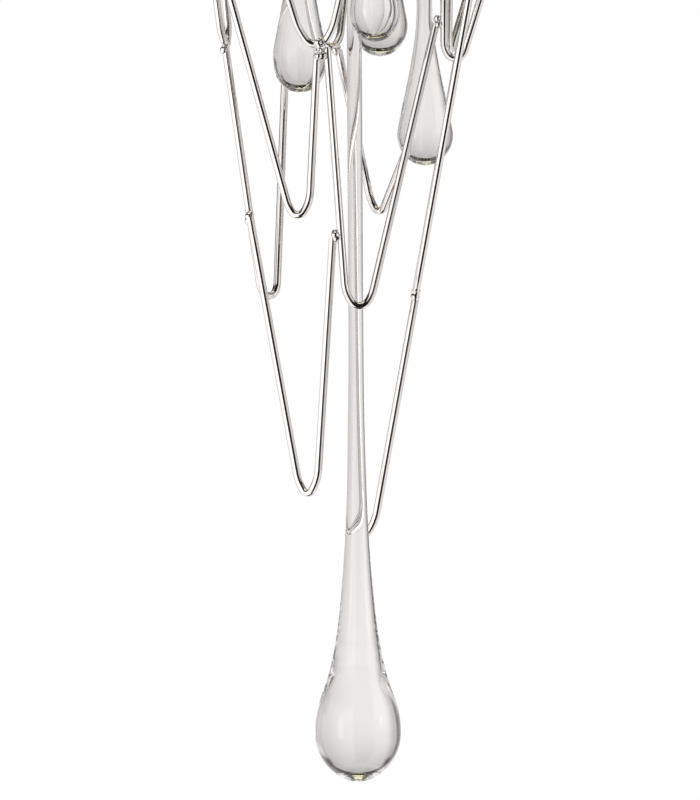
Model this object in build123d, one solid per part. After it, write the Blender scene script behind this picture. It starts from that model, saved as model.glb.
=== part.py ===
"""Cluster pendant light: solid glass drops hanging inside a cascade of bent nickel rods.

Millimetres, +Z up. The origin is the middle of the face that meets the ceiling. Seen from
the front, +X is to the right and +Y to the back. Depths are measured down from the ceiling.
"""
import math
import os

from build123d import *

# Ceiling plate, pressed steel with a turned-down rim
PLATE_INSET = 20.0
PLATE_T = 3.0
PLATE_RIM = 9.0
PLATE_EDGE = 3.5
SCREW_CIRCLE_R = 110.0
SCREW_HOLE_D = 6.5
SCREW_COUNT = 4

# Rubber bush where the mains cable comes in
CABLE_BORE_D = 10.0
BUSH_NECK_D = 16.0
BUSH_FLANGE_D = 23.0
BUSH_FLANGE_T = 2.5
BUSH_RECESS = 0.2
BUSH_FIT = 0.05
BUSH_PLACE = (0.0, 40.0)

# Canopy, a spun pan, and the plate inside it that carries the load
PAN_R = 170.0
PAN_DEPTH = 60.0
PAN_WALL = 1.6
PAN_EDGE = 10.0
PAN_BEAD_R = 2.0
SHADOW_GAP = 1.5
CARRIER_MARGIN = 6.0
CARRIER_T = 5.0

# One thread size for studs, sockets and forks
THREAD_D = 6.0
THREAD_FIT = 0.05
PLATE_HOLE_FIT = 0.2
NUT_ACROSS = 10.0
NUT_T = 5.0
THREAD_SHOWS = 2.0

# Studs that hold the canopy up, and the dome nuts below it
STUD_CIRCLE_SHARE = 0.62
STUD_COUNT = 3
STUD_PHASE = 30.0
STUD_TAIL = 8.0
DOME_D = 13.0
DOME_SKIRT = 5.0

# Downlights let into the canopy
LIGHT_CIRCLE_SHARE = 0.56
LIGHT_COUNT = 6
LIGHT_PHASE = 0.0
BEZEL_D = 52.0
BEZEL_T = 2.0
SLEEVE_D = 44.0
SLEEVE_WALL = 2.0
SLEEVE_RISE = 22.0
LIGHT_MOUTH_D = 40.0
LIGHT_THROAT_D = 33.0
LENS_SEAT = 3.0
LENS_T = 3.0
LENS_FIT = 0.15
BOARD_T = 1.6
BOARD_MARGIN = 0.5
SINK_BASE = 3.0
FIN_T = 1.8
FIN_PITCH = 5.0
FIN_H = 9.0

# LED driver, terminal block and earth screw under the ceiling plate
DRIVER_L = 104.0
DRIVER_W = 42.0
DRIVER_H = 20.0
DRIVER_EDGE = 2.0
DRIVER_EAR = 10.0
DRIVER_EAR_T = 2.5
DRIVER_SLOT_D = 4.5
DRIVER_PLACE = (0.0, 77.0)
BLOCK_L = 34.0
BLOCK_W = 18.0
BLOCK_H = 13.0
BLOCK_POLES = 3
BLOCK_WELL_D = 5.0
BLOCK_WELL_DEPTH = 4.0
BLOCK_WIRE_D = 3.6
BLOCK_PLACE = (-48.0, -52.0)
EARTH_D = 5.0
EARTH_WASHER_D = 11.0
EARTH_WASHER_T = 1.0
EARTH_HEAD_ACROSS = 8.0
EARTH_HEAD_T = 3.5
EARTH_PLACE = (12.0, -58.0)

# Bent rods: stock, bend and brazed joint
ROD_D = 5.0
BEND_R = 6.0
BEND_HALF_ANGLE = 55.0
KNEE_R = 24.0
BRAZE_GAP = 0.25
BEAD_R = 3.7

# First row of loops, all alike, round the canopy
TOP_LOOPS = 8
TOP_LOOP_SHARE = 0.776
TOP_LOOP_SPAN = 68.0
TOP_LOOP_LEAN = 27.0
TOP_LOOP_DEPTH = 275.0
SOCKET_D = 13.0
SOCKET_DROP = 5.0

# Fork, pin and rod that carry a glass drop
FORK_D = 11.0
FORK_H = 20.0
FORK_EDGE = 1.5
PIVOT_DROP = 12.0
PIN_D = 3.0
PIN_FIT = 0.05
PIN_HEAD_D = 5.0
PIN_HEAD_T = 1.2
TONGUE_T = 3.0
TONGUE_W = 9.0
TONGUE_SIDE_GAP = 0.35
TONGUE_TOP_GAP = 1.5
TONGUE_BELOW_FORK = 6.0
HANGER_D = 4.0
HANGER_LAP = 2.0

# Cap glued on the top of each glass stem
CAP_WALL = 2.2
CAP_GLUE = 0.2
CAP_BORE = 17.0
CAP_WEB = 3.0
CAP_GRIP = 8.0
CAP_SHOULDER = 3.0
CAP_EDGE = 0.8

PLATE_R = PAN_R - PLATE_INSET
STUD_CIRCLE_R = PAN_R * STUD_CIRCLE_SHARE
LIGHT_CIRCLE_R = PAN_R * LIGHT_CIRCLE_SHARE
TOP_LOOP_R = PAN_R * TOP_LOOP_SHARE
TOP_LOOP_LOW_R = TOP_LOOP_R - TOP_LOOP_LEAN
UNDERSIDE = -PAN_DEPTH
PAN_FLOOR = UNDERSIDE + PAN_WALL
CARRIER_TOP = PAN_FLOOR + CARRIER_T
CARRIER_R = PAN_R - PAN_WALL - PAN_EDGE - CARRIER_MARGIN
PIVOT_Z = UNDERSIDE - PIVOT_DROP
ROD_R = ROD_D / 2
THREAD_R = THREAD_D / 2
SHANK_TOP = CARRIER_TOP + NUT_T + THREAD_SHOWS

# Loops below the first row, from the top down. Each end is brazed to a loop above it:
# (that loop, distance along it from its lowest point, side of it). Low is the lowest point
# of the rod's middle line: x, y, depth below the first row. Last are the radii of the bend
# and of the knees beside it.
LOOPS = [
    ("upper_loop_right_front", ("top_315", 6, "under"), ("top_0", -6, "under"),
     (100, -44, 161), (BEND_R, KNEE_R)),
    ("upper_loop_right_back", ("top_0", 6, "under"), ("top_45", -6, "under"),
     (91, 60, 153), (BEND_R, KNEE_R)),
    ("upper_loop_back_right", ("top_45", 6, "under"), ("top_90", -6, "under"),
     (40, 84, 165), (BEND_R, KNEE_R)),
    ("upper_loop_back_left", ("top_90", 6, "under"), ("top_135", -6, "under"),
     (0, 66, 155), (BEND_R, KNEE_R)),
    ("upper_loop_left_back", ("top_135", 6, "under"), ("top_180", -6, "under"),
     (-60, 58, 149), (BEND_R, KNEE_R)),
    ("upper_loop_left_front", ("top_180", 6, "under"), ("top_225", -6, "under"),
     (-98, -14, 150), (BEND_R, KNEE_R)),
    ("upper_loop_front_left", ("top_225", 6, "under"), ("top_270", -6, "under"),
     (-62, -54, 157), (BEND_R, KNEE_R)),
    ("upper_loop_front_right", ("top_270", 6, "under"), ("top_315", -6, "under"),
     (8, -62, 157), (BEND_R, KNEE_R)),
    ("side_loop_left", ("upper_loop_left_back", 128, "left"), ("upper_loop_left_front", -50, "back"),
     (-83, 14, 251), (3.2, 20)),
    ("front_loop", ("upper_loop_front_left", 0, "under"), ("upper_loop_front_right", 0, "under"),
     (-24, -26, 257), (8, 42)),
    ("inner_back_loop", ("upper_loop_left_back", 0, "under"), ("upper_loop_back_left", 0, "under"),
     (-15, 18, 253.7), (4, 24)),
    ("right_back_loop", ("upper_loop_front_right", 152, "back"), ("upper_loop_right_back", -6, "under"),
     (61.4, 2, 257.5), (3.2, 20)),
    ("right_front_loop", ("upper_loop_front_right", 134, "back"), ("upper_loop_right_front", 0, "under"),
     (64.3, -14, 265), (5.5, 14)),
    ("side_loop_right", ("upper_loop_right_front", -30, "left"), ("upper_loop_right_back", 6, "under"),
     (38.8, 8, 411.5), (5, 22)),
    ("left_front_loop", ("upper_loop_left_front", 0, "under"), ("front_loop", 0.4, "under"),
     (-36.3, -26, 364.6), (4.5, 24)),
    ("left_back_loop", ("side_loop_left", 0, "under"), ("inner_back_loop", -70, "back"),
     (-55.6, 12, 414.6), (5, 14)),
    ("long_front_loop", ("front_loop", 5, "under"), ("right_front_loop", -26, "left"),
     (2.4, -22, 422.2), (6.5, 24)),
    ("short_inner_loop", ("inner_back_loop", 3, "under"), ("long_front_loop", 104, "back"),
     (15.6, 6, 360.6), (5, 28)),
    ("low_left_loop", ("left_back_loop", -54, "front"), ("long_front_loop", -48, "left"),
     (-31.3, -12, 540.8), (4, 28)),
    ("low_back_loop", ("short_inner_loop", -60, "back"), ("side_loop_right", 0, "under"),
     (4.8, 16, 567.6), (4, 32)),
]

# Glass drops: place, turn of the hinge (0 swings left and right), depth of the tip below the
# first row, length of the glass, bulb, then the curve from bulb to stem.
DROPS = [
    dict(name="centre", x=0, y=0, turn=0, tip=725, length=560, bulb_r=27.5, bulb_h=35.8, tip_r=23,
         flank=242, shoulder=29.2, neck=3.4, stem_r=4.8),
    dict(name="left", x=-34.9, y=-2, turn=0, tip=285, length=230, bulb_r=17.3, bulb_h=19.8, tip_r=15.5,
         flank=100, shoulder=25, neck=58, stem_r=5.1),
    dict(name="front", x=13.1, y=-32, turn=0, tip=256, length=211, bulb_r=16, bulb_h=18.5, tip_r=14.5,
         flank=84, shoulder=10, neck=50, stem_r=5),
    dict(name="back", x=17, y=44, turn=0, tip=257.5, length=222.5, bulb_r=18, bulb_h=20, tip_r=16.5,
         flank=84, shoulder=10, neck=50, stem_r=5),
    dict(name="right", x=45.2, y=8, turn=0, tip=331.4, length=246.4, bulb_r=18, bulb_h=19.5, tip_r=16.5,
         flank=82, shoulder=9, neck=52, stem_r=5),
    dict(name="upper_left", x=-50, y=30, turn=0, tip=130, length=175, bulb_r=16, bulb_h=18.5, tip_r=14.5,
         flank=80, shoulder=12, neck=46, stem_r=5),
    dict(name="upper_right", x=48, y=-28, turn=0, tip=110, length=165, bulb_r=15, bulb_h=17.5, tip_r=13.5,
         flank=78, shoulder=10, neck=46, stem_r=5),
]

SIDES = {"under": Vector(0, 0, -1), "left": Vector(-1, 0, 0), "right": Vector(1, 0, 0),
         "front": Vector(0, -1, 0), "back": Vector(0, 1, 0)}


class Loop:
    """Middle line of one bent rod: two straight legs, two knees and a tight bend between them."""

    def __init__(self, end_a, end_b, low, bend_r, knee_r):
        self.low, self.bend_r, self.knee_r = low, bend_r, knee_r
        normal = (end_a - low).cross(end_b - low).normalized()
        self.up = (Vector(0, 0, 1) - normal * normal.Z).normalized()
        self.across = self.up.cross(normal)
        if (end_b - end_a).dot(self.across) < 0:
            self.across = self.across * -1
        half = math.radians(BEND_HALF_ANGLE)
        self.bend = bend_r * half
        knee_x = (bend_r - knee_r) * math.sin(half)
        knee_y = bend_r - (bend_r - knee_r) * math.cos(half)
        self.knee_centre = (knee_x, knee_y)
        self.legs = {}
        for sign, end in ((-1, end_a), (1, end_b)):
            dx = sign * (end - low).dot(self.across) - knee_x
            dy = (end - low).dot(self.up) - knee_y
            reach = math.hypot(dx, dy)
            heading = math.atan2(dy, dx) + math.asin(knee_r / reach)
            knee = knee_r * (heading - half)
            leg = math.sqrt(reach ** 2 - knee_r ** 2)
            self.legs[sign] = (heading, knee, self.bend + knee + leg)

    def flat(self, along):
        """Place and heading in the plane of the loop, at a distance along from the lowest point."""
        sign = -1 if along < 0 else 1
        run = abs(along)
        heading, knee, _ = self.legs[sign]
        half = math.radians(BEND_HALF_ANGLE)
        if run <= self.bend:
            turn = run / self.bend_r
            x, y = self.bend_r * math.sin(turn), self.bend_r - self.bend_r * math.cos(turn)
        else:
            turn = min(half + (run - self.bend) / self.knee_r, heading)
            straight = max(run - self.bend - knee, 0)
            x = self.knee_centre[0] + self.knee_r * math.sin(turn) + straight * math.cos(turn)
            y = self.knee_centre[1] - self.knee_r * math.cos(turn) + straight * math.sin(turn)
        return sign * x, y, math.cos(turn), sign * math.sin(turn)

    def at(self, along):
        x, y, _, _ = self.flat(along)
        return self.low + self.across * x + self.up * y

    def direction(self, along):
        _, _, dx, dy = self.flat(along)
        return self.across * dx + self.up * dy

    def seat(self, along, side, low):
        """Where the end of a rod that hangs down to low goes, and the plane its bead is made on.

        The bead stands across the joint, so its poles lie inside the two rods.
        """
        tangent = self.direction(along)
        out = SIDES[side]
        out = (out - tangent * out.dot(tangent)).normalized()
        spot = self.at(along)
        lean = math.sqrt(1 - (low - spot).normalized().dot(out) ** 2)
        reach = ROD_R * (1 + lean) + BRAZE_GAP
        middle = spot + out * (ROD_R + BRAZE_GAP / 2)
        return spot + out * reach, Plane(middle, x_dir=tangent + tangent.cross(out), z_dir=out)

    def passes(self, point, reach):
        """Whether the rod's middle line comes within reach of a point."""
        first, last = -self.legs[-1][2], self.legs[1][2]
        steps = math.ceil((last - first) / ROD_R)
        marks = [first + (last - first) * k / steps for k in range(steps + 1)]
        return any((self.at(mark) - point).length < reach for mark in marks)

    def solid(self):
        pieces = []
        for sign in (-1, 1):
            _, knee, length = self.legs[sign]
            marks = [0, self.bend / 2, self.bend, self.bend + knee / 2, self.bend + knee, length]
            a, b, c, d, e, f = [self.at(sign * mark) for mark in marks]
            run = [Edge.make_three_point_arc(a, b, c), Edge.make_three_point_arc(c, d, e),
                   Edge.make_line(e, f)]
            pieces.extend(run)
        start = -self.legs[-1][2]
        section = Plane(self.at(start), z_dir=self.direction(start)) * Circle(ROD_R)
        return sweep(section, path=Wire(pieces)).solid()


def hole_grid(places, radius, low, high):
    """Upright cylinders from low to high at the given places."""
    span = high - low
    return [Pos(x, y, low + span / 2) * Cylinder(radius, span) for x, y in places]


def ring_places(radius, count, phase=0.0):
    turns = [math.radians(phase + 360 * k / count) for k in range(count)]
    return [(radius * math.cos(t), radius * math.sin(t)) for t in turns]


def lathe(outline):
    """Solid of revolution from a half outline of (radius, height) points."""
    points = [(r, 0, z) for r, z in outline]
    face = make_face(Polyline(*points, close=True))
    return revolve(face, Axis.Z)


def group(shapes):
    """Separate solids kept in one node."""
    solids = []
    for shape in shapes:
        solids.extend(shape.solids())
    return Compound(children=solids)


def save(shape, name):
    export_step(shape, f"parts/{name}.step")


# Loops of the first row and the loops hung from them

def top_loop(turn_deg):
    turn = math.radians(turn_deg)
    out, side = Vector(math.cos(turn), math.sin(turn), 0), Vector(-math.sin(turn), math.cos(turn), 0)
    top = Vector(0, 0, UNDERSIDE - SOCKET_DROP)
    end_a = out * TOP_LOOP_R - side * (TOP_LOOP_SPAN / 2) + top
    end_b = out * TOP_LOOP_R + side * (TOP_LOOP_SPAN / 2) + top
    low = out * TOP_LOOP_LOW_R - Vector(0, 0, TOP_LOOP_DEPTH)
    return end_a, end_b, Loop(end_a, end_b, low, BEND_R, KNEE_R)


loops = {}
socket_points = []
beads = []
for k in range(TOP_LOOPS):
    turn = 360 * k // TOP_LOOPS
    end_a, end_b, loop = top_loop(turn)
    loops[f"top_{turn}"] = loop
    socket_points += [end_a, end_b]

for name, seat_a, seat_b, (x, y, depth), (bend_r, knee_r) in LOOPS:
    low = Vector(x, y, -TOP_LOOP_DEPTH - depth)
    ends = []
    for parent, along, side in (seat_a, seat_b):
        end, bead = loops[parent].seat(along, side, low)
        ends.append(end)
        beads.append(bead)
    loops[name] = Loop(ends[0], ends[1], low, bend_r, knee_r)

rods = {name: loop.solid() for name, loop in loops.items()}
top_names = [name for name in rods if name.startswith("top_")]
canopy_loops = group([rods[name] for name in top_names])


# Beads of brazing metal, run together where two joints share one spot

def brazing_beads():
    heaps = []
    for bead in beads:
        near = [heap for heap in heaps
                if any((bead.origin - other.origin).length < 2 * BEAD_R for other in heap)]
        if near:
            near[0].append(bead)
        else:
            heaps.append([bead])
    solids = []
    for heap in heaps:
        metal = heap[0] * Sphere(BEAD_R)
        for bead in heap[1:]:
            metal = metal + bead * Sphere(BEAD_R)
        for name, loop in loops.items():
            if any(loop.passes(bead.origin, BEAD_R + ROD_D) for bead in heap):
                metal = metal - rods[name]
        solids.append(metal)
    return group(solids)


# Places on the canopy, shared by every plate the shanks pass through

socket_places = [(p.X, p.Y) for p in socket_points]
fork_places = [(d["x"], d["y"]) for d in DROPS]
stud_places = ring_places(STUD_CIRCLE_R, STUD_COUNT, STUD_PHASE)
light_places = ring_places(LIGHT_CIRCLE_R, LIGHT_COUNT, LIGHT_PHASE)
screw_places = ring_places(SCREW_CIRCLE_R, SCREW_COUNT, 180 / SCREW_COUNT)


def plate_holes(low, high):
    threads = hole_grid(socket_places + fork_places + stud_places, THREAD_R + PLATE_HOLE_FIT, low, high)
    lights = hole_grid(light_places, SLEEVE_D / 2 + PLATE_HOLE_FIT, low, high)
    return threads + lights


def ceiling_plate():
    dish = lathe([(0, 0), (PLATE_R, 0), (PLATE_R, -PLATE_RIM), (PLATE_R - PLATE_T, -PLATE_RIM),
                  (PLATE_R - PLATE_T, -PLATE_T), (0, -PLATE_T)])
    dish = fillet(dish.edges().filter_by(GeomType.CIRCLE).group_by(Axis.Z)[-1], PLATE_EDGE)
    plate = dish - hole_grid(screw_places, SCREW_HOLE_D / 2, -PLATE_T, 0)
    plate = plate - hole_grid([BUSH_PLACE], BUSH_NECK_D / 2, -PLATE_T, 0)
    return plate - hole_grid([EARTH_PLACE], EARTH_D / 2 + THREAD_FIT, -PLATE_T, 0)


def cable_bush():
    bore, neck, flange = CABLE_BORE_D / 2, BUSH_NECK_D / 2 - BUSH_FIT, BUSH_FLANGE_D / 2
    bottom = -PLATE_T - BUSH_FLANGE_T
    bush = lathe([(bore, -BUSH_RECESS), (neck, -BUSH_RECESS), (neck, -PLATE_T), (flange, -PLATE_T),
                  (flange, bottom), (bore, bottom)])
    rim = bush.edges().filter_by(GeomType.CIRCLE).sort_by(SortBy.RADIUS)[-2:].sort_by(Axis.Z)[0]
    return Pos(*BUSH_PLACE) * fillet(rim, BUSH_FLANGE_T / 3)


def canopy_pan():
    inner = PAN_R - PAN_WALL
    cup = lathe([(0, UNDERSIDE), (PAN_R, UNDERSIDE), (PAN_R, -SHADOW_GAP), (0, -SHADOW_GAP)])
    cup = fillet(cup.edges().filter_by(GeomType.CIRCLE).group_by(Axis.Z)[0], PAN_EDGE)
    core = lathe([(0, PAN_FLOOR), (inner, PAN_FLOOR), (inner, 0), (0, 0)])
    core = fillet(core.edges().filter_by(GeomType.CIRCLE).group_by(Axis.Z)[0], PAN_EDGE - PAN_WALL)
    ring = Pos(0, 0, -SHADOW_GAP - PAN_BEAD_R) * Torus(PAN_R, PAN_BEAD_R)
    pan = (cup + ring) - core
    return pan - plate_holes(UNDERSIDE, PAN_FLOOR)


def carrier_plate():
    disc = Pos(0, 0, PAN_FLOOR + CARRIER_T / 2) * Cylinder(CARRIER_R, CARRIER_T)
    return disc - plate_holes(PAN_FLOOR, CARRIER_TOP)


def hex_prism(across, height):
    return extrude(RegularPolygon(across / 2, 6, major_radius=False), height)


def canopy_studs():
    rod_low = UNDERSIDE - STUD_TAIL
    rod_high = -PLATE_T - NUT_T
    head = Pos(0, 0, rod_high) * hex_prism(NUT_ACROSS, NUT_T)
    length = rod_high - rod_low
    stud = head + Pos(0, 0, rod_low + length / 2) * Cylinder(THREAD_R, length)
    return group([Pos(x, y) * stud for x, y in stud_places])


def canopy_nuts():
    nut = hex_prism(NUT_ACROSS, NUT_T)
    nut = nut - Pos(0, 0, NUT_T / 2) * Cylinder(THREAD_R + THREAD_FIT, NUT_T)
    return group([Pos(x, y, CARRIER_TOP) * nut for x, y in socket_places + fork_places + stud_places])


def dome_nuts():
    r, bore = DOME_D / 2, THREAD_R + THREAD_FIT
    half = make_face([
        Line((bore, 0), (r, 0)),
        Line((r, 0), (r, -DOME_SKIRT)),
        CenterArc((0, -DOME_SKIRT), r, 0, -90),
        Line((0, -DOME_SKIRT - r), (0, -STUD_TAIL)),
        Line((0, -STUD_TAIL), (bore, -STUD_TAIL)),
        Line((bore, -STUD_TAIL), (bore, 0)),
    ])
    nut = revolve(Plane.XZ * half, Axis.Z)
    return group([Pos(x, y, UNDERSIDE) * nut for x, y in stud_places])


# Downlights

SLEEVE_TOP = UNDERSIDE + SLEEVE_RISE
SLEEVE_BORE_R = SLEEVE_D / 2 - SLEEVE_WALL


def downlight_bezels():
    low, seat = UNDERSIDE - BEZEL_T, UNDERSIDE + LENS_SEAT
    bezel = lathe([(LIGHT_MOUTH_D / 2, low), (BEZEL_D / 2, low), (BEZEL_D / 2, UNDERSIDE),
                   (SLEEVE_D / 2, UNDERSIDE), (SLEEVE_D / 2, SLEEVE_TOP), (SLEEVE_BORE_R, SLEEVE_TOP),
                   (SLEEVE_BORE_R, seat), (LIGHT_THROAT_D / 2, seat)])
    rim = bezel.edges().filter_by(GeomType.CIRCLE).sort_by(SortBy.RADIUS)[-2:].sort_by(Axis.Z)[0]
    bezel = fillet(rim, BEZEL_T * 0.6)
    return group([Pos(x, y) * bezel for x, y in light_places])


def downlight_lenses():
    lens = Pos(0, 0, UNDERSIDE + LENS_SEAT + LENS_T / 2) * Cylinder(SLEEVE_BORE_R - LENS_FIT, LENS_T)
    return group([Pos(x, y) * lens for x, y in light_places])


def led_boards():
    board = Pos(0, 0, SLEEVE_TOP - BOARD_T / 2) * Cylinder(SLEEVE_BORE_R - BOARD_MARGIN, BOARD_T)
    return group([Pos(x, y) * board for x, y in light_places])


def heat_sinks():
    height = SINK_BASE + FIN_H
    sink = Pos(0, 0, height / 2) * Cylinder(SLEEVE_D / 2, height)
    gap = FIN_PITCH - FIN_T
    gaps = 2 * int(SLEEVE_D / 2 / FIN_PITCH)
    slots = GridLocations(FIN_PITCH, 1, gaps, 1) * Box(gap, SLEEVE_D + 1, FIN_H)
    sink = sink - [Pos(0, 0, SINK_BASE + FIN_H / 2) * slot for slot in slots]
    return group([Pos(x, y, SLEEVE_TOP) * sink for x, y in light_places])


# Parts screwed to the underside of the ceiling plate

def led_driver():
    case = Pos(0, 0, -DRIVER_H / 2) * Box(DRIVER_L, DRIVER_W, DRIVER_H)
    case = fillet(case.edges().filter_by(Axis.Z) + case.edges().group_by(Axis.Z)[0], DRIVER_EDGE)
    ears = Pos(0, 0, -DRIVER_EAR_T / 2) * Box(DRIVER_L + 2 * DRIVER_EAR, DRIVER_W / 2, DRIVER_EAR_T)
    ears = fillet(ears.edges().filter_by(Axis.Z), DRIVER_EAR / 3)
    reach = (DRIVER_L + DRIVER_EAR) / 2
    slots = hole_grid([(-reach, 0), (reach, 0)], DRIVER_SLOT_D / 2, -DRIVER_EAR_T, 0)
    return Pos(*DRIVER_PLACE, -PLATE_T) * (case + ears - slots)


def terminal_block():
    block = Pos(0, 0, -BLOCK_H / 2) * Box(BLOCK_L, BLOCK_W, BLOCK_H)
    pitch = BLOCK_L / BLOCK_POLES
    poles = [(pitch * (k - (BLOCK_POLES - 1) / 2), 0) for k in range(BLOCK_POLES)]
    wells = hole_grid(poles, BLOCK_WELL_D / 2, -BLOCK_H, -BLOCK_H + BLOCK_WELL_DEPTH)
    wires = [Pos(x, 0, -BLOCK_H / 2 + BLOCK_WIRE_D / 2) * Rot(90, 0, 0)
             * Cylinder(BLOCK_WIRE_D / 2, BLOCK_W) for x, _ in poles]
    return Pos(*BLOCK_PLACE, -PLATE_T) * (block - wells - wires)


def earth_screw():
    shank_top = -BUSH_RECESS
    washer = Pos(0, 0, -PLATE_T - EARTH_WASHER_T / 2) * Cylinder(EARTH_WASHER_D / 2, EARTH_WASHER_T)
    head = Pos(0, 0, -PLATE_T - EARTH_WASHER_T - EARTH_HEAD_T) * hex_prism(EARTH_HEAD_ACROSS, EARTH_HEAD_T)
    length = PLATE_T + EARTH_WASHER_T + shank_top
    shank = Pos(0, 0, shank_top - length / 2) * Cylinder(EARTH_D / 2, length)
    return Pos(*EARTH_PLACE) * (washer + head + shank)


# Ball sockets that hold the legs of the first row

def loop_sockets():
    sockets = []
    length = SHANK_TOP - UNDERSIDE
    for k, point in enumerate(socket_points):
        ball = Pos(*point) * Sphere(SOCKET_D / 2)
        above = Pos(point.X, point.Y, UNDERSIDE + SOCKET_D / 2) * Box(SOCKET_D, SOCKET_D, SOCKET_D)
        shank = Pos(point.X, point.Y, UNDERSIDE + length / 2) * Cylinder(THREAD_R, length)
        sockets.append(ball - above - rods[top_names[k // 2]] + shank)
    return group(sockets)


# Forks and pins, one for each drop

def fork():
    length = SHANK_TOP - UNDERSIDE
    body = Pos(0, 0, UNDERSIDE - FORK_H / 2) * Cylinder(FORK_D / 2, FORK_H)
    body = fillet(body.edges().group_by(Axis.Z)[0], FORK_EDGE)
    shank = Pos(0, 0, UNDERSIDE + length / 2) * Cylinder(THREAD_R, length)
    slot_top = PIVOT_Z + TONGUE_W / 2 + TONGUE_TOP_GAP
    slot_low = UNDERSIDE - FORK_H
    slot_w = TONGUE_T + 2 * TONGUE_SIDE_GAP
    slot = Pos(0, 0, (slot_top + slot_low) / 2) * Box(FORK_D, slot_w, slot_top - slot_low)
    bore = Pos(0, 0, PIVOT_Z) * Rot(90, 0, 0) * Cylinder(PIN_D / 2 + PIN_FIT, FORK_D)
    return body + shank - slot - bore


def pin():
    shaft = Cylinder(PIN_D / 2, FORK_D + 2 * PIN_HEAD_T)
    head = Cylinder(PIN_HEAD_D / 2, PIN_HEAD_T)
    heads = [Pos(0, 0, end * (FORK_D + PIN_HEAD_T) / 2) * head for end in (-1, 1)]
    return Pos(0, 0, PIVOT_Z) * Rot(90, 0, 0) * (shaft + heads)


def drop_forks():
    return group([Pos(d["x"], d["y"]) * Rot(0, 0, d["turn"]) * fork() for d in DROPS])


def fork_pins():
    return group([Pos(d["x"], d["y"]) * Rot(0, 0, d["turn"]) * pin() for d in DROPS])


# One drop: hanger rod, cap and glass

def drop_heights(d):
    glass_top = d["length"] - TOP_LOOP_DEPTH - d["tip"]
    cap_low = glass_top + CAP_GLUE - CAP_BORE
    cap_high = cap_low + CAP_BORE + CAP_WEB + CAP_GRIP
    return glass_top, cap_low, cap_high


def hanger(d):
    _, _, cap_high = drop_heights(d)
    tongue_low = UNDERSIDE - FORK_H - TONGUE_BELOW_FORK
    rod_low = cap_high - CAP_GRIP
    rod_high = tongue_low + HANGER_LAP
    rod = Pos(0, 0, (rod_low + rod_high) / 2) * Cylinder(HANGER_D / 2, rod_high - rod_low)
    eye = Pos(0, 0, PIVOT_Z) * Rot(90, 0, 0) * Cylinder(TONGUE_W / 2, TONGUE_T)
    blade = Pos(0, 0, (PIVOT_Z + tongue_low) / 2) * Box(TONGUE_W, TONGUE_T, PIVOT_Z - tongue_low)
    blade = fillet(blade.edges().filter_by(Axis.Y).group_by(Axis.Z)[0], HANGER_D / 2)
    bore = Pos(0, 0, PIVOT_Z) * Rot(90, 0, 0) * Cylinder(PIN_D / 2 + PIN_FIT, TONGUE_T)
    return Pos(d["x"], d["y"]) * Rot(0, 0, d["turn"]) * (rod + eye + blade - bore)


def cap(d):
    _, low, high = drop_heights(d)
    bore_r = d["stem_r"] + CAP_GLUE
    grip_r = HANGER_D / 2 + THREAD_FIT
    web_low, web_high = low + CAP_BORE, low + CAP_BORE + CAP_WEB
    r = bore_r + CAP_WALL
    body = lathe([(bore_r, low), (r - CAP_EDGE, low), (r, low + CAP_EDGE), (r, high), (grip_r, high),
                  (grip_r, web_high), (0, web_high), (0, web_low), (bore_r, web_low)])
    top_rim = body.edges().filter_by(GeomType.CIRCLE).group_by(Axis.Z)[-1].sort_by(SortBy.RADIUS)[-1]
    return Pos(d["x"], d["y"]) * fillet(top_rim, CAP_SHOULDER)


def glass_drop(d):
    r, tip_r, high = d["bulb_r"], d["tip_r"], d["bulb_h"]
    stem, top = d["stem_r"], d["length"]
    neck = high + d["flank"]
    side_r = (r ** 2 + high ** 2 - 2 * high * tip_r) / (2 * (r - tip_r))
    side_x = r - side_r
    turn = math.atan2(tip_r - high, -side_x)
    tip_mid, side_mid = (turn - math.pi / 2) / 2, turn / 2
    meet = (tip_r * math.cos(turn), tip_r + tip_r * math.sin(turn))
    half = make_face([
        ThreePointArc((0, 0), (tip_r * math.cos(tip_mid), tip_r + tip_r * math.sin(tip_mid)), meet),
        ThreePointArc(meet, (side_x + side_r * math.cos(side_mid), high + side_r * math.sin(side_mid)),
                      (r, high)),
        Bezier((r, high), (r, high + d["shoulder"]), (stem, high + d["neck"]), (stem, neck)),
        Line((stem, neck), (stem, top)),
        Line((stem, top), (0, top)),
        Line((0, top), (0, 0)),
    ])
    return Pos(d["x"], d["y"], -TOP_LOOP_DEPTH - d["tip"]) * revolve(Plane.XZ * half, Axis.Z)


os.makedirs("parts", exist_ok=True)
save(ceiling_plate(), "ceiling_plate")
save(cable_bush(), "cable_bush")
save(canopy_pan(), "canopy_pan")
save(carrier_plate(), "carrier_plate")
save(canopy_studs(), "canopy_studs")
save(canopy_nuts(), "canopy_nuts")
save(dome_nuts(), "dome_nuts")
save(downlight_bezels(), "downlight_bezels")
save(downlight_lenses(), "downlight_lenses")
save(led_boards(), "led_boards")
save(heat_sinks(), "heat_sinks")
save(led_driver(), "led_driver")
save(terminal_block(), "terminal_block")
save(earth_screw(), "earth_screw")
save(loop_sockets(), "loop_sockets")
save(canopy_loops, "canopy_loops")
for row in LOOPS:
    save(rods[row[0]], row[0])
save(brazing_beads(), "brazing_beads")
save(drop_forks(), "drop_forks")
save(fork_pins(), "fork_pins")
for d in DROPS:
    save(hanger(d), f"{d['name']}_hanger_rod")
    save(cap(d), f"{d['name']}_drop_cap")
    save(glass_drop(d), f"{d['name']}_glass_drop")
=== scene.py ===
import math
import random

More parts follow.
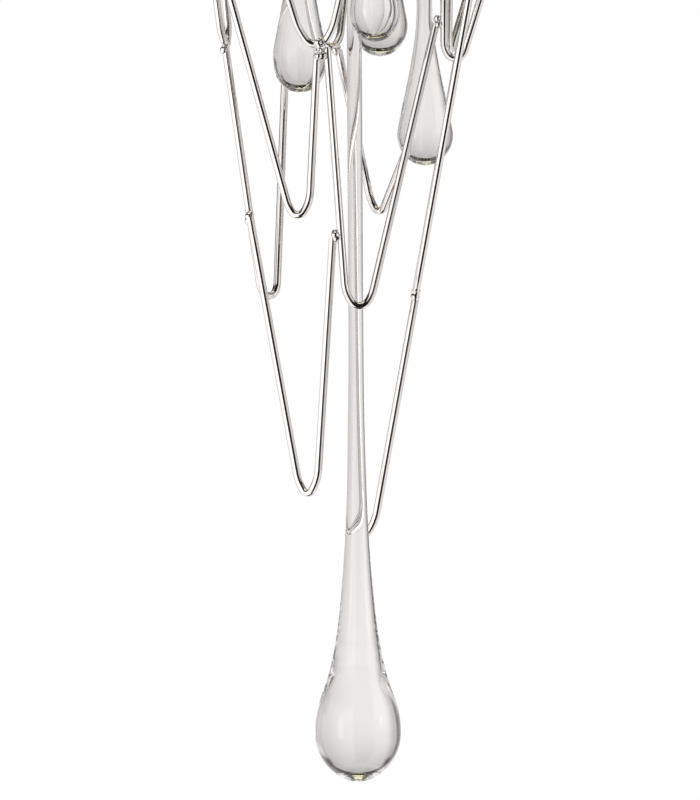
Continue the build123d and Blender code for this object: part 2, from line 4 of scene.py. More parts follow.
import bpy
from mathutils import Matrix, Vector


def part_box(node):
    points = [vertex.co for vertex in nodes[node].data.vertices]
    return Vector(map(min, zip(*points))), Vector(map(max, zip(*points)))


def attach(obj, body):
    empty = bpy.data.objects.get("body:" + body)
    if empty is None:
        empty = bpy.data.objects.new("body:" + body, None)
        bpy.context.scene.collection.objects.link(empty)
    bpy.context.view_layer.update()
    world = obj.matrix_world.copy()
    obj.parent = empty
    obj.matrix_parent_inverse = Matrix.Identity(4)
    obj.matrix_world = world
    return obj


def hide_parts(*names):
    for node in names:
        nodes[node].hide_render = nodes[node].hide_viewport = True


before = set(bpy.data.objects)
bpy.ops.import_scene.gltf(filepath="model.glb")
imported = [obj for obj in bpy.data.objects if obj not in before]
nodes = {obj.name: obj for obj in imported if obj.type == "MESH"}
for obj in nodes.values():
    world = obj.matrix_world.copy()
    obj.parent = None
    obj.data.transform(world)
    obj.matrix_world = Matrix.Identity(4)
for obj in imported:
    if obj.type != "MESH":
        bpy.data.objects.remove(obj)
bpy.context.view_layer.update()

# Ceiling plate, carrier plate, studs and nuts: steel, pressed or cut, and zinc plated.
# The plating has faint crystals, and the tools leave a few scratches on it.
# They are screwed together and hidden inside the canopy, but the top shows before it is hung.
CRYSTAL = 0.007
CRYSTAL_SHARE = 0.7
ZINC_CLOUD = 0.03
SCRATCH = 0.0008
SCRATCH_RUN = (1.0, 0.05, 1.0)
SCRATCH_DEPTH = 0.000008
ZINC_TONES = ((0.46, 0.47, 0.49), (0.62, 0.63, 0.65))
EVENLY = (1.0, 1.0, 1.0)
SAME_PLACE = 1e-6
CREASE_DEG = 35.0


class Shade:
    """A value in a node tree. Sums, differences and products of it add Math nodes."""

    def __init__(self, tree, socket=None):
        self.tree = tree
        self.socket = socket

    def node(self, kind, settings=None, inputs=None, output=0):
        """Adds any other node: its settings first, then the values or links of its sockets."""
        made = self.tree.nodes.new(kind)
        for key, value in (settings or {}).items():
            setattr(made, key, value)
        for key, value in (inputs or {}).items():
            if isinstance(value, Shade):
                self.tree.links.new(value.socket, made.inputs[key])
            else:
                made.inputs[key].default_value = value
        return Shade(self.tree, made.outputs[output])

    def math(self, operation, first, second=0.0):
        return self.node("ShaderNodeMath", {"operation": operation}, {0: first, 1: second})

    def __add__(self, other):
        return self.math("ADD", self, other)

    def __sub__(self, other):
        return self.math("SUBTRACT", self, other)

    def __rsub__(self, other):
        return self.math("SUBTRACT", other, self)

    def __mul__(self, other):
        return self.math("MULTIPLY", self, other)

    __radd__ = __add__
    __rmul__ = __mul__


def new_finish(name, **fixed):
    """A material whose shader has these fixed values: the material, its tree and its shader."""
    finish = bpy.data.materials.new(name)
    finish.use_nodes = True
    shader = finish.node_tree.nodes["Principled BSDF"]
    for key, value in fixed.items():
        shader.inputs[key.replace("_", " ")].default_value = value
    return finish, Shade(finish.node_tree), shader


def feed(shader, **values):
    """Links values that change over the surface to the shader's sockets."""
    for key, value in values.items():
        value.tree.links.new(value.socket, shader.inputs[key.replace("_", " ")])


def place_on(tree, stretch=EVENLY):
    """The piece's own coordinates in metres, drawn out by stretch."""
    place = tree.node("ShaderNodeTexCoord", output="Object")
    return tree.node("ShaderNodeMapping", inputs={"Vector": place, "Scale": stretch})


def grain(tree, size, stretch=EVENLY):
    """Cloudy noise from 0 to 1; size is the width of its blotches in metres."""
    return tree.node("ShaderNodeTexNoise", inputs={
        "Vector": place_on(tree, stretch), "Scale": 1.0 / size, "Detail": 3.0})


def ramp(tree, value, low, high):
    """Rises smoothly from 0 to 1 as the value goes from low to high."""
    return tree.node("ShaderNodeMapRange", {"interpolation_type": "SMOOTHSTEP"},
                     {"Value": value, "From Min": low, "From Max": high})


def tint(tree, mask, dark, light):
    """A colour that runs from dark to light with the mask."""
    return tree.node("ShaderNodeMix", {"data_type": "RGBA"},
                     {0: mask, 6: (*dark, 1.0), 7: (*light, 1.0)}, output=2)


def relief(tree, height, depth):
    """A normal from a height field whose full step is depth metres."""
    return tree.node("ShaderNodeBump",
                     inputs={"Height": height, "Distance": depth, "Strength": 1.0})


def dress(name, finish):
    """Gives a CAD piece its finish and smooths the shading of its curved faces."""
    piece = nodes[name]
    piece.data.materials.clear()
    piece.data.materials.append(finish)
    if "custom_normal" in piece.data.attributes:
        piece.data.attributes.remove(piece.data.attributes["custom_normal"])
    for face in piece.data.polygons:
        face.use_smooth = True
    weld = piece.modifiers.new("weld", "WELD")
    weld.merge_threshold = SAME_PLACE
    crease = piece.modifiers.new("crease", "EDGE_SPLIT")
    crease.split_angle = math.radians(CREASE_DEG)


zinc_plate, tree, shader = new_finish("zinc_plate", Metallic=1.0)
crystals = tree.node("ShaderNodeTexVoronoi",
                     inputs={"Vector": place_on(tree), "Scale": 1 / CRYSTAL}, output="Color")
crystals = tree.node("ShaderNodeSeparateColor", inputs={0: crystals})
clouds = crystals * CRYSTAL_SHARE + grain(tree, ZINC_CLOUD) * (1 - CRYSTAL_SHARE)
scratches = grain(tree, SCRATCH, SCRATCH_RUN)
feed(shader,
     Base_Color=tint(tree, clouds, *ZINC_TONES),
     Roughness=crystals * 0.12 + scratches * 0.1 + 0.24,
     Normal=relief(tree, scratches, SCRATCH_DEPTH))
for name in ("ceiling_plate", "carrier_plate", "canopy_studs", "canopy_nuts"):
    dress(name, zinc_plate)

# Bush where the mains cable comes in: black rubber, moulded, pushed into the ceiling plate.
# Its skin is dull, with the grey bloom that rubber gets.
BLOOM = 0.004
RUBBER_PORE = 0.0004
RUBBER_PORE_DEPTH = 0.00002
RUBBER_TONES = ((0.012, 0.012, 0.013), (0.05, 0.05, 0.052))
rubber, tree, shader = new_finish("bush_rubber", Specular_IOR_Level=0.3)
bloom = grain(tree, BLOOM)
feed(shader,
     Base_Color=tint(tree, bloom, *RUBBER_TONES),
     Roughness=bloom * 0.2 + 0.55,
     Normal=relief(tree, grain(tree, RUBBER_PORE), RUBBER_PORE_DEPTH))
dress("cable_bush", rubber)

# Canopy: a pan spun from sheet brass on a former, nickel plated and buffed.
# The spinning tool leaves fine rings about the middle, which the buffing softens.
SPIN_RING = 0.0016
SPIN_DEPTH = 0.000012
CANOPY_HAZE = 0.05
CANOPY_TONES = ((0.72, 0.70, 0.67), (0.80, 0.785, 0.76))


def bands(tree, measure, width):
    """Noise that changes along one measure of the piece, in bands of about this width."""
    return tree.node("ShaderNodeTexNoise", {"noise_dimensions": "1D"},
                     {"W": measure, "Scale": 1 / width})


spun_nickel, tree, shader = new_finish("spun_nickel", Metallic=1.0)
across = tree.node("ShaderNodeVectorMath", {"operation": "LENGTH"},
                   {0: place_on(tree, (1.0, 1.0, 0.0))}, output="Value")
rings = bands(tree, across, SPIN_RING)
haze = grain(tree, CANOPY_HAZE)
feed(shader,
     Base_Color=tint(tree, haze, *CANOPY_TONES),
     Roughness=rings * 0.06 + haze * 0.06 + 0.09,
     Normal=relief(tree, rings, SPIN_DEPTH))
dress("canopy_pan", spun_nickel)

# Dome nuts, downlight bezels, ball sockets and forks: turned from brass bar and nickel plated.
# The lathe leaves fine lines round each piece. Bezels, sockets and forks stand in holes through
# the pan and the carrier plate, and the dome nuts hold the pan up on its studs.
LATHE_LINE = 0.0004
LATHE_DEPTH = 0.000003
TURNED_HAZE = 0.008
TURNED_TONES = ((0.76, 0.745, 0.72), (0.85, 0.835, 0.81))


def along(vector, axis):
    """One coordinate of a vector."""
    return vector.node("ShaderNodeSeparateXYZ", inputs={0: vector}, output=axis)


turned_nickel, tree, shader = new_finish("turned_nickel", Metallic=1.0)
lines = bands(tree, along(place_on(tree), "Z"), LATHE_LINE)
haze = grain(tree, TURNED_HAZE)
feed(shader,
     Base_Color=tint(tree, haze, *TURNED_TONES),
     Roughness=lines * 0.04 + haze * 0.06 + 0.05,
     Normal=relief(tree, lines, LATHE_DEPTH))
for name in ("dome_nuts", "downlight_bezels", "loop_sockets", "drop_forks"):
    dress(name, turned_nickel)

# Downlight lenses: six discs of pressed glass, frosted, with fine rings that spread the light.
# They drop into the bezels from above and are lit warm white from behind.
LIGHTS = 6
LENS_R = 0.01985
LENS_RING = 0.0016
LENS_RING_DEPTH = 0.0003
LENS_GLOW = 5.0
HOT_SHARE = 0.7
LENS_TONES = ((0.80, 0.78, 0.72), (0.90, 0.88, 0.83))
GLOW_TONES = ((0.80, 0.58, 0.27), (1.0, 0.84, 0.50))


def from_nearest_light(tree):
    """Distance from the middle of the nearest downlight; they stand evenly in a ring."""
    low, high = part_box("downlight_lenses")
    ring_r = (high.x - low.x) / 2 - LENS_R
    turn = math.radians(360 / LIGHTS)
    place = place_on(tree)
    x, y = along(place, "X"), along(place, "Y")
    bearing = tree.math("ARCTAN2", y, x)
    own = bearing - tree.math("ROUND", bearing * (1 / turn)) * turn
    reach = tree.math("SQRT", x * x + y * y)
    outward = reach * tree.math("COSINE", own) - ring_r
    aside = reach * tree.math("SINE", own)
    return tree.math("SQRT", outward * outward + aside * aside)


frosted, tree, shader = new_finish("frosted_lens", Roughness=0.45, Emission_Strength=LENS_GLOW)
reach = from_nearest_light(tree)
rings = tree.math("PINGPONG", reach, LENS_RING / 2) * (2 / LENS_RING)
hot = 1 - ramp(tree, reach, 0.0, LENS_R)
feed(shader,
     Base_Color=tint(tree, rings, *LENS_TONES),
     Emission_Color=tint(tree, hot * HOT_SHARE + rings * (1 - HOT_SHARE), *GLOW_TONES),
     Normal=relief(tree, rings, LENS_RING_DEPTH))
dress("downlight_lenses", frosted)

# LED boards: white lacquered discs with a round patch of yellow phosphor in the middle.
# Each is pressed against its heat sink at the top of the sleeve.
PHOSPHOR_R = 0.006
PHOSPHOR_EDGE = 0.94
LACQUER = 0.002
LACQUER_DEPTH = 0.00002
BOARD_WHITE = (0.84, 0.84, 0.82)
PHOSPHOR_YELLOW = (0.85, 0.62, 0.10)
board_white, tree, shader = new_finish("board_white", Coat_Weight=0.2)
patch = 1 - ramp(tree, from_nearest_light(tree), PHOSPHOR_R * PHOSPHOR_EDGE, PHOSPHOR_R)
lacquer = grain(tree, LACQUER)
feed(shader,
     Base_Color=tint(tree, patch, BOARD_WHITE, PHOSPHOR_YELLOW),
     Roughness=lacquer * 0.12 + 0.35,
     Normal=relief(tree, lacquer, LACQUER_DEPTH))
dress("led_boards", board_white)

# Heat sinks: extruded aluminium, sawn off and left bare, with the die's lines along the fins.
# One stands behind each LED board, inside the canopy.
DIE_LINE = 0.0005
DIE_RUN = (1.0, 0.03, 1.0)
DIE_DEPTH = 0.00001
SINK_CLOUD = 0.01
ALUMINIUM_TONES = ((0.66, 0.67, 0.68), (0.78, 0.79, 0.80))
bare_aluminium, tree, shader = new_finish("sink_aluminium", Metallic=1.0)
die_lines = grain(tree, DIE_LINE, DIE_RUN)
feed(shader,
     Base_Color=tint(tree, grain(tree, SINK_CLOUD), *ALUMINIUM_TONES),
     Roughness=die_lines * 0.2 + 0.28,
     Normal=relief(tree, die_lines, DIE_DEPTH))
dress("heat_sinks", bare_aluminium)

# LED driver: a moulded case of white plastic with the fine grain of a spark-eroded mould.
# It is screwed up to the ceiling plate by its ears.
ERODED = 0.0006
ERODED_DEPTH = 0.00003
CASE_CLOUD = 0.02
CASE_TONES = ((0.72, 0.72, 0.70), (0.80, 0.80, 0.78))
case_white, tree, shader = new_finish("driver_case", Specular_IOR_Level=0.4)
eroded = grain(tree, ERODED)
feed(shader,
     Base_Color=tint(tree, grain(tree, CASE_CLOUD), *CASE_TONES),
     Roughness=eroded * 0.2 + 0.42,
     Normal=relief(tree, eroded, ERODED_DEPTH))
dress("led_driver", case_white)

# Terminal block: three ways moulded in milky nylon, with wells for the screws and wire holes.
# It hangs from the ceiling plate. Light goes a little way in, which softens its edges.
NYLON_CLOUD = 0.003
NYLON_PORE = 0.0008
NYLON_PORE_DEPTH = 0.00001
NYLON_LIGHT_REACH = (0.002, 0.002, 0.002)
NYLON_TONES = ((0.78, 0.77, 0.70), (0.86, 0.85, 0.80))
nylon, tree, shader = new_finish("block_nylon", Subsurface_Weight=0.25,
                                 Subsurface_Radius=NYLON_LIGHT_REACH)
cloudy = grain(tree, NYLON_CLOUD)
feed(shader,
     Base_Color=tint(tree, cloudy, *NYLON_TONES),
     Roughness=cloudy * 0.1 + 0.3,
     Normal=relief(tree, grain(tree, NYLON_PORE), NYLON_PORE_DEPTH))
dress("terminal_block", nylon)

# Earth screw: a hexagon screw and its washer, machined from brass and left bare.
# It stands in the ceiling plate, and the brass is a little tarnished.
TARNISH = 0.004
BRASS_MARK = 0.0004
BRASS_MARK_DEPTH = 0.000006
BRASS_TONES = ((0.55, 0.38, 0.14), (0.80, 0.60, 0.26))
brass, tree, shader = new_finish("earth_brass", Metallic=1.0)
tarnish = grain(tree, TARNISH)
feed(shader,
     Base_Color=tint(tree, tarnish, *BRASS_TONES),
     Roughness=tarnish * 0.2 + 0.18,
     Normal=relief(tree, grain(tree, BRASS_MARK), BRASS_MARK_DEPTH))
dress("earth_screw", brass)

# Rods of the net: 5 mm steel, drawn straight, bent cold round a peg, nickel plated and polished.
# The plating is bright, with faint draw marks along the rod and a little haze left by handling.
# The first row stands in the ball sockets, and every other rod hangs from the bends above it.
ROD_HAZE = 0.012
DRAW_MARK = 0.0005
DRAW_RUN = (1.0, 1.0, 0.04)
DRAW_DEPTH = 0.0000025
ROD_TONES = ((0.82, 0.80, 0.775), (0.90, 0.885, 0.865))
ROW_NAMES = ("canopy_loops", "upper_loop_", "side_loop_")
polished_nickel, tree, shader = new_finish("polished_nickel", Metallic=1.0)
haze = grain(tree, ROD_HAZE)
draw_marks = grain(tree, DRAW_MARK, DRAW_RUN)
feed(shader,
     Base_Color=tint(tree, haze, *ROD_TONES),
     Roughness=haze * 0.05 + 0.02,
     Normal=relief(tree, draw_marks, DRAW_DEPTH))
for name in nodes:
    if name.endswith("_loop") or name.startswith(ROW_NAMES):
        dress(name, polished_nickel)

# Beads of braze: silver alloy run hot into the joints, where it set in small lumps and runs.
# The lumps sit round each touching point and reach a little way down the hanging rod.
# The joint under the front loop has far more braze than the others.
LUMPS = 5
LUMP_R = (0.0021, 0.0031)
LUMP_SPREAD = (0.0010, 0.0010, 0.0026)
LUMP_FACETS = 3
HEAVY_JOINT = 1.9
CHANCE_SEED = 7
MELT_VOXEL = 0.00035
FLOW_SHARE = 0.5
FLOW_ROUNDS = 6
BRAZE_CLOUD = 0.004
FROZEN_RIPPLE = 0.0014
FROZEN_DEPTH = 0.00012
BRAZE_TONES = ((0.84, 0.83, 0.81), (0.94, 0.93, 0.92))


def solid_boxes(name):
    """Middle and half height of every separate solid of a CAD node, read from a copy of it."""
    bpy.ops.object.select_all(action="DESELECT")
    copy = bpy.data.objects.new("solids", nodes[name].data.copy())
    bpy.context.scene.collection.objects.link(copy)
    copy.select_set(True)
    bpy.context.view_layer.objects.active = copy
    bpy.ops.object.mode_set(mode="EDIT")
    bpy.ops.mesh.select_all(action="SELECT")
    bpy.ops.mesh.remove_doubles(threshold=SAME_PLACE)
    bpy.ops.mesh.separate(type="LOOSE")
    bpy.ops.object.mode_set(mode="OBJECT")
    boxes = []
    for solid in bpy.context.selected_objects:
        corners = [corner.co for corner in solid.data.vertices]
        ends = [(min(c[k] for c in corners), max(c[k] for c in corners)) for k in range(3)]
        boxes.append(([(a + b) / 2 for a, b in ends], (ends[2][1] - ends[2][0]) / 2))
    bpy.ops.object.delete()
    return sorted(boxes)


def from_front_bend(place):
    """How far a place is from the foot of the front loop, as seen from the front."""
    low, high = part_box("front_loop")
    return math.dist((place[0], place[2]), ((low.x + high.x) / 2, low.z))


chance = random.Random(CHANCE_SEED)
lumps = []
bead_boxes = solid_boxes("brazing_beads")
bead_size = min(half for _, half in bead_boxes)
under_front = min((middle for middle, _ in bead_boxes), key=from_front_bend)
for middle, half in bead_boxes:
    grow = half / bead_size * (HEAVY_JOINT if middle == under_front else 1.0)
    for _ in range(round(LUMPS * grow)):
        place = [middle[k] + chance.uniform(-1, 1) * LUMP_SPREAD[k] * grow for k in range(3)]
        place[1] -= (grow - 1) * LUMP_R[0]
        lumps.append(dict(location=place, radius=chance.uniform(*LUMP_R)))
bpy.ops.object.select_all(action="DESELECT")
bpy.ops.mesh.primitive_ico_sphere_add(subdivisions=LUMP_FACETS, **lumps[0])
bpy.ops.object.transform_apply(location=True)
braze = bpy.context.object
braze.name = "braze_runs"
bpy.ops.object.mode_set(mode="EDIT")
for lump in lumps[1:]:
    bpy.ops.mesh.primitive_ico_sphere_add(subdivisions=LUMP_FACETS, **lump)
bpy.ops.object.mode_set(mode="OBJECT")
melt = braze.modifiers.new("melt", "REMESH")
melt.voxel_size = MELT_VOXEL
melt.use_smooth_shade = True
bpy.ops.object.modifier_apply(modifier="melt")
flow = braze.modifiers.new("flow", "SMOOTH")
flow.factor, flow.iterations = FLOW_SHARE, FLOW_ROUNDS
bpy.ops.object.modifier_apply(modifier="flow")
bpy.ops.object.shade_smooth()
bright_braze, tree, shader = new_finish("bright_braze", Metallic=1.0)
frozen = grain(tree, FROZEN_RIPPLE)
feed(shader,
     Base_Color=tint(tree, grain(tree, BRAZE_CLOUD), *BRAZE_TONES),
     Roughness=frozen * 0.05 + 0.03,
     Normal=relief(tree, frozen, FROZEN_DEPTH))
braze.data.materials.clear()
braze.data.materials.append(bright_braze)
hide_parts("brazing_beads")
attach(braze, "fixture")

# Pins through the forks: plated steel wire with a head peened on each end.
# The hammer leaves shallow dents side by side, and the hanger's eye turns on the wire between.
BLOW = 0.0012
BLOW_DEPTH = 0.00005
PIN_CLOUD = 0.003
PIN_TONES = ((0.52, 0.52, 0.52), (0.66, 0.66, 0.66))
peened_steel, tree, shader = new_finish("plated_steel", Metallic=1.0)
blows = tree.node("ShaderNodeTexVoronoi", inputs={"Vector": place_on(tree), "Scale": 1 / BLOW})
feed(shader,
     Base_Color=tint(tree, grain(tree, PIN_CLOUD), *PIN_TONES),
     Roughness=blows * 0.15 + 0.2,
     Normal=relief(tree, blows, BLOW_DEPTH))
dress("fork_pins", peened_steel)

# Hanger rods and caps: a plated rod with a flat eye that swings in the fork, and a turned cap
# below it, glued over the top of the glass stem.
for name in nodes:
    if name.endswith("_hanger_rod"):
        dress(name, polished_nickel)
    if name.endswith("_drop_cap"):
        dress(name, turned_nickel)

# Glass drops: solid clear glass, gathered hot and pulled out into a thin stem by hand.
# The pull leaves the surface very slightly wavy. Each drop is glued into its cap.
# The flank runs from the widest place up to the stem; shoulder and neck say how full its ends are.
DROP_SIZES = {
    "centre": dict(bulb_height=0.0313, tip_r=0.0209, flank=0.253, shoulder=0.0415, neck=0.001,
                   stem_r=0.0048, sag=0.001),
    "left": dict(bulb_height=0.0237, tip_r=0.0163, flank=0.100, shoulder=0.0093, neck=0.0473,
                 stem_r=0.0051, sag=0.0),
    "front": dict(bulb_height=0.0185, tip_r=0.0145, flank=0.084, shoulder=0.010, neck=0.050,
                  stem_r=0.005, sag=0.0),
    "back": dict(bulb_height=0.020, tip_r=0.0165, flank=0.084, shoulder=0.010, neck=0.050,
                 stem_r=0.005, sag=0.0),
    "right": dict(bulb_height=0.0195, tip_r=0.0165, flank=0.082, shoulder=0.009, neck=0.052,
                  stem_r=0.005, sag=0.0),
    "upper_left": dict(bulb_height=0.0185, tip_r=0.0145, flank=0.080, shoulder=0.012, neck=0.046,
                       stem_r=0.005, sag=0.0),
    "upper_right": dict(bulb_height=0.0175, tip_r=0.0135, flank=0.078, shoulder=0.010, neck=0.046,
                        stem_r=0.005, sag=0.0),
}
STEM_EDGE = 0.0008
PROFILE_STEPS = 40
TURN_STEPS = 96
WAVE_SIZE = 0.05
WAVE_HEIGHT = 0.0003
GLASS_IOR = 1.5
SMEAR = 0.02
SMEAR_ROUGHNESS = 0.006
GLASS_TONES = ((0.985, 0.978, 0.975), (0.995, 0.990, 0.988))
wave = bpy.data.textures.new("pull_waves", "CLOUDS")
wave.noise_scale = WAVE_SIZE


def arc_handle(radius, angle):
    """Length of the handles that make a curve follow an arc."""
    return 4 / 3 * math.tan(angle / 4) * radius


def drop_outline(size, bulb_r, height):
    """Corners of half a drop's outline from the tip up: place, handle before, handle after."""
    tip_r, high, stem_r = size["tip_r"], size["bulb_height"], size["stem_r"]
    side_r = (bulb_r ** 2 + high ** 2 - 2 * high * tip_r) / (2 * (bulb_r - tip_r))
    turn = math.atan2(tip_r - high, side_r - bulb_r)
    tip_pull = arc_handle(tip_r, turn + math.pi / 2)
    side_pull = arc_handle(side_r, -turn)
    ahead = (-math.sin(turn), math.cos(turn))
    meet = (tip_r * math.cos(turn), tip_r + tip_r * math.sin(turn))
    neck = high + size["flank"]
    return [
        ((0, 0), (0, 0), (tip_pull, 0)),
        (meet, (meet[0] - tip_pull * ahead[0], meet[1] - tip_pull * ahead[1]),
         (meet[0] + side_pull * ahead[0], meet[1] + side_pull * ahead[1])),
        ((bulb_r, high), (bulb_r, high - side_pull), (bulb_r, high + size["shoulder"])),
        ((stem_r, neck), (stem_r, high + size["neck"]), (stem_r, neck + STEM_EDGE)),
        ((stem_r, height - STEM_EDGE), (stem_r, height - 2 * STEM_EDGE), (stem_r, height)),
        ((stem_r - STEM_EDGE, height), (stem_r, height), (stem_r - 2 * STEM_EDGE, height)),
        ((0, height), (STEM_EDGE, height), (0, height)),
    ]


def pulled_drop(name, size):
    """One drop, turned from its outline and ruffled a little, as glass shaped by hand is."""
    low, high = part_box(f"{name}_glass_drop")
    middle = (low + high) / 2
    tip_z = low.z - size["sag"]
    outline = drop_outline(size, (high.x - low.x) / 2, high.z - tip_z)
    bpy.ops.object.select_all(action="DESELECT")
    bpy.ops.curve.primitive_bezier_curve_add(location=(0, 0, 0))
    drop = bpy.context.object
    drop.name = f"{name}_drop_glass"
    drop.data.resolution_u = PROFILE_STEPS
    points = drop.data.splines[0].bezier_points
    points.add(len(outline) - len(points))
    for point, (place, before, after) in zip(points, outline):
        point.handle_left_type = point.handle_right_type = "FREE"
        for corner, (r, z) in (("co", place), ("handle_left", before), ("handle_right", after)):
            setattr(point, corner, (middle.x + r, middle.y, tip_z + z))
    bpy.ops.object.convert(target="MESH")
    bpy.ops.object.mode_set(mode="EDIT")
    bpy.ops.mesh.select_all(action="SELECT")
    bpy.ops.mesh.spin(steps=TURN_STEPS, angle=2 * math.pi,
                      center=(middle.x, middle.y, 0), axis=(0, 0, 1))
    bpy.ops.mesh.select_all(action="SELECT")
    bpy.ops.mesh.remove_doubles(threshold=SAME_PLACE)
    bpy.ops.mesh.normals_make_consistent(inside=False)
    bpy.ops.object.mode_set(mode="OBJECT")
    waves = drop.modifiers.new("waves", "DISPLACE")
    waves.texture, waves.texture_coords = wave, "LOCAL"
    waves.strength, waves.mid_level = WAVE_HEIGHT, 0.5
    bpy.ops.object.modifier_apply(modifier="waves")
    bpy.ops.object.shade_smooth()
    return drop


clear_glass, tree, shader = new_finish("clear_glass", Transmission_Weight=1.0, IOR=GLASS_IOR)
smear = grain(tree, SMEAR)
feed(shader,
     Base_Color=tint(tree, smear, *GLASS_TONES),
     Roughness=smear * SMEAR_ROUGHNESS)
for name, size in DROP_SIZES.items():
    drop = pulled_drop(name, size)
    drop.data.materials.append(clear_glass)
    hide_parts(f"{name}_glass_drop")
    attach(drop, f"{name}_drop")

# Floor: plain and pale, well below the tip of the long drop.
# Metal and glass don't see it, because its far edge would draw a line across them.
FLOOR_Z = -3.5
FLOOR_SIZE = 24.0
FLOOR_CLOUD = 0.4
FLOOR_TONES = ((0.91, 0.91, 0.90), (0.93, 0.93, 0.92))
bpy.ops.object.select_all(action="DESELECT")
bpy.ops.mesh.primitive_plane_add(size=FLOOR_SIZE, location=(0, 0, FLOOR_Z))
floor = bpy.context.object
floor.name = "floor"
pale, tree, shader = new_finish("pale_floor", Roughness=0.8)
feed(shader, Base_Color=tint(tree, grain(tree, FLOOR_CLOUD), *FLOOR_TONES))
floor.data.materials.append(pale)
floor.visible_glossy = floor.visible_transmission = False

# Studio: a white backdrop, a soft box on the left, a grey wall on the right and a warm ceiling.
# Only metal and glass see it, a few of its parts at different levels; all else sees plain white.
# Bearings run from the camera's side, positive to the right. All angles are in degrees.
WHITE = (1.0, 1.0, 1.0)
DARK_LEVEL = 0.014
world = bpy.data.worlds.new("studio")
bpy.context.scene.world = world
world.use_nodes = True
world.node_tree.nodes.clear()
sky = Shade(world.node_tree)


def rise(angle, low, high):
    """Rises from 0 to 1 as an angle goes from low to high degrees."""
    return ramp(sky, angle, math.radians(low), math.radians(high))


def span(angle, low, high, soft):
    """1 between two angles, falling to 0 over soft degrees at either end."""
    ended = rise(angle, high - soft / 2, high + soft / 2)
    return rise(angle, low - soft / 2, low + soft / 2) * (1 - ended)


def larger(first, second):
    """The larger of two values."""
    return sky.math("MAXIMUM", first, second)


way = sky.node("ShaderNodeTexCoord", output="Generated")
way_x, way_y, way_z = along(way, "X"), along(way, "Y"), along(way, "Z")
bearing = sky.math("ARCTAN2", way_x, 0 - way_y)
upward = sky.math("ARCSINE", way_z)
by_glass = sky.node("ShaderNodeLightPath", output="Is Transmission Ray")
by_metal = 1 - by_glass

# The soft box, with a dark flag at its far end for glass.
BOX_SIDES = (-113, -12, 9)
BOX_TOP = (20, 32)
BOX_LEVEL = 1.15
FLAG_SIDES = (-122, -80, 6)
FLAG_SHARE = 0.93
soft_box = span(bearing, *BOX_SIDES) * (1 - rise(upward, *BOX_TOP)) * BOX_LEVEL
flag = span(bearing, *FLAG_SIDES) * by_glass * FLAG_SHARE

# The wall on the right, in three panels: sides, level, and what is added high up and low down.
RIGHT_PANELS = (
    ((27, 48, 10), 0.42, -0.42, -0.42),
    ((48, 86, 12), 0.64, 0.26, 0.28),
    ((86, 132, 12), 0.42, 0.30, 0.40),
)
RIGHT_HIGH = (5, 14)
RIGHT_LOW = (-14, -6)
RIGHT_TOP = (27, 38)
high_up = rise(upward, *RIGHT_HIGH)
low_down = (1 - rise(upward, *RIGHT_LOW)) * by_metal
right_wall = sum(span(bearing, *sides) * (high_up * above + low_down * below + level)
                 for sides, level, above, below in RIGHT_PANELS)
right_wall = right_wall * (1 - rise(upward, *RIGHT_TOP))

# Two lamps, seen as highlights on the rods: sides, foot and top, level.
LAMPS = (
    ((-56, -38, 12), (-11, 11, 12), 1.6),
    ((62, 71, 7), (2, 12, 7), 1.8),
)
lamps = sum(span(bearing, *sides) * span(upward, *ends) * level for sides, ends, level in LAMPS)

# The backdrop. It fades upward and to the right, and its straight top is as high above the light
# as it is far behind it. Its left edge falls off in two steps for glass, and for metal high up;
# low down, metal sees most of that fall further round.
BACK_LEVEL = 0.80
BACK_MOST = 0.885
BACK_FADE_UP = 0.39
BACK_FADE_RIGHT = 0.26
FADE_RIGHT = (0.05, 0.8)
BACK_HEIGHT = 1.0
BACK_TOP_SOFT = 0.04
BACK_CUT = 0.95
LEFT_STEPS = (((-151, -131), 0.45), ((-130, -122), 0.5))
LEFT_HIGH = (4, 12)
LEFT_LEAST = 0.4
LEFT_FURTHER = (-117, -109)
RIGHT_EDGE = (104, 116)
back_level = sky.math("MINIMUM", BACK_LEVEL - upward * BACK_FADE_UP, BACK_MOST)
back_level = back_level * (1 - ramp(sky, way_x, *FADE_RIGHT) * BACK_FADE_RIGHT)
left_edge = sum(rise(bearing, *step) * share for step, share in LEFT_STEPS)
left_share = larger(by_glass, rise(upward, *LEFT_HIGH)) * (1 - LEFT_LEAST) + LEFT_LEAST
left_rest = rise(bearing, *LEFT_FURTHER) * (1 - left_share) * BACK_CUT
back_reach = 1 - left_edge * left_share - left_rest + rise(bearing, *RIGHT_EDGE) * BACK_CUT
back_top = 1 - ramp(sky, way_z - way_y * BACK_HEIGHT, -BACK_TOP_SOFT, BACK_TOP_SOFT)
backdrop = back_level * back_reach * back_top

# Dark gaps: one high on the left for metal, and the space above the walls for glass.
LEFT_GAP = (-152, -99, 10)
LEFT_GAP_FOOT = (5, 13)
LEFT_GAP_SHARE = 0.85
HIGH_GAP_FOOT = (20, 30)
HIGH_GAP_BACK = (134, 146)
HIGH_GAP_SHARE = 0.95
left_gap = span(bearing, *LEFT_GAP) * rise(upward, *LEFT_GAP_FOOT) * by_metal * LEFT_GAP_SHARE
to_the_back = rise(sky.math("ABSOLUTE", bearing), *HIGH_GAP_BACK)
high_gap = rise(upward, *HIGH_GAP_FOOT) * (1 - to_the_back) * by_glass * HIGH_GAP_SHARE

# The camera's side of the room, which is grey for glass and dark for metal.
NEAR_SIDES = (-80, 104, 16)
NEAR_TOP = (30, 42)
NEAR_LEVEL = 0.55
near_side = span(bearing, *NEAR_SIDES) * (1 - rise(upward, *NEAR_TOP)) * by_glass * NEAR_LEVEL

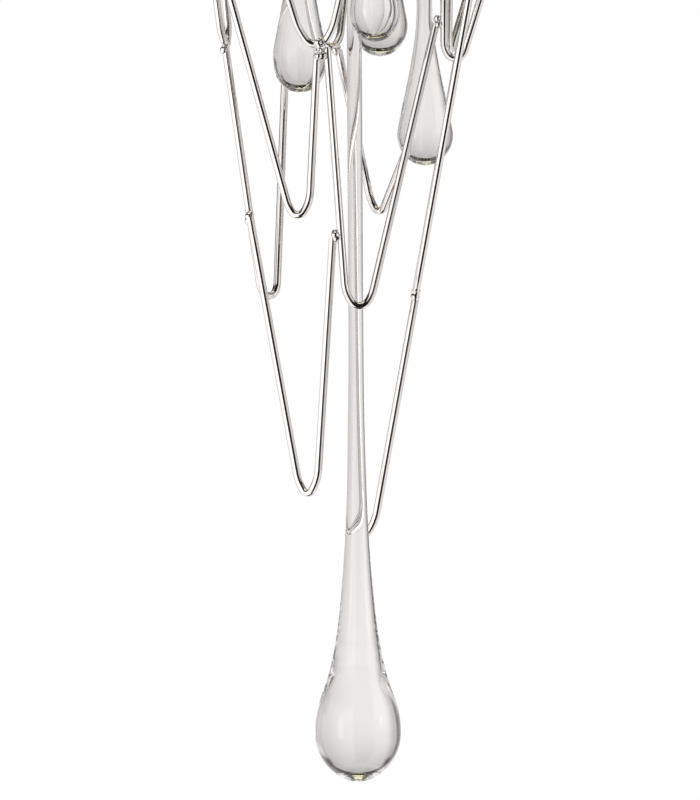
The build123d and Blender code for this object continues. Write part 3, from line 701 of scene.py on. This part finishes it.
# Light from the floor, which stops short of straight down and is weaker on the camera's side.
FLOOR_LEVEL = 0.95
FLOOR_TOP = (-40, -28)
FLOOR_FOOT = (-72, -60)
NEAR_FLOOR = (-16, 52, 10)
NEAR_FLOOR_GLASS = 0.65
near_floor = span(bearing, *NEAR_FLOOR) * (1 - by_glass * NEAR_FLOOR_GLASS)
floor_glow = (1 - rise(upward, *FLOOR_TOP)) * (1 - near_floor) * FLOOR_LEVEL

# The warm ceiling above a dark cove. It begins a little higher and is yellower for glass.
CEILING_LEVEL = 1.15
CEILING_FOOT = (57, 62)
CEILING_LIFT = 2
COVE_FOOT = (52, 56)
METAL_HUE = 0.2
WALL_HUE = (1.0, 0.97, 0.96)
CEILING_HUE = (1.0, 0.92, 0.58)
ceiling = rise(upward - by_glass * math.radians(CEILING_LIFT), *CEILING_FOOT)
hue = tint(sky, ceiling * (by_glass * (1 - METAL_HUE) + METAL_HUE), WALL_HUE, CEILING_HUE)

# All of it together, on the world.
walls = (larger(backdrop, soft_box + right_wall) + lamps) * (1 - flag)
walls = larger(walls * (1 - left_gap) * (1 - high_gap), near_side)
walls = larger(walls, floor_glow) * rise(upward, *FLOOR_FOOT)
level = walls * (1 - rise(upward, *COVE_FOOT)) + ceiling * CEILING_LEVEL + DARK_LEVEL
mirrored = larger(sky.node("ShaderNodeLightPath", output="Is Glossy Ray"), by_glass)
plain = sky.node("ShaderNodeBackground", inputs={"Color": (*WHITE, 1.0), "Strength": 1.0})
studio = sky.node("ShaderNodeBackground", inputs={"Color": hue, "Strength": level})
room = sky.node("ShaderNodeMixShader", inputs={0: mirrored, 1: plain, 2: studio})
output = sky.tree.nodes.new("ShaderNodeOutputWorld")
sky.tree.links.new(room.socket, output.inputs["Surface"])

# Camera: level with the middle of the picture, far off, with a long lens and a hair of roll.
# A pixel of the picture is this many metres at the middle of the light.
PIXEL = 0.00064
PICTURE_HEIGHT = 800
DISTANCE = 2.2
MIDDLE_X = -0.00397
MIDDLE_Z = -0.7568
ROLL_DEG = 0.31
SENSOR = 36.0
BOUNCES = 24
camera_data = bpy.data.cameras.new("camera")
camera = bpy.data.objects.new("camera", camera_data)
bpy.context.scene.collection.objects.link(camera)
camera_data.sensor_width = SENSOR
camera_data.lens = SENSOR * DISTANCE / (PICTURE_HEIGHT * PIXEL)
camera.location = (MIDDLE_X, -DISTANCE, MIDDLE_Z)
camera.rotation_euler = (math.radians(90), math.radians(ROLL_DEG), 0)
bpy.context.scene.camera = camera
bpy.context.scene.view_settings.view_transform = "Standard"
bpy.context.scene.cycles.max_bounces = BOUNCES
bpy.context.scene.cycles.glossy_bounces = BOUNCES
bpy.context.scene.cycles.transmission_bounces = BOUNCES
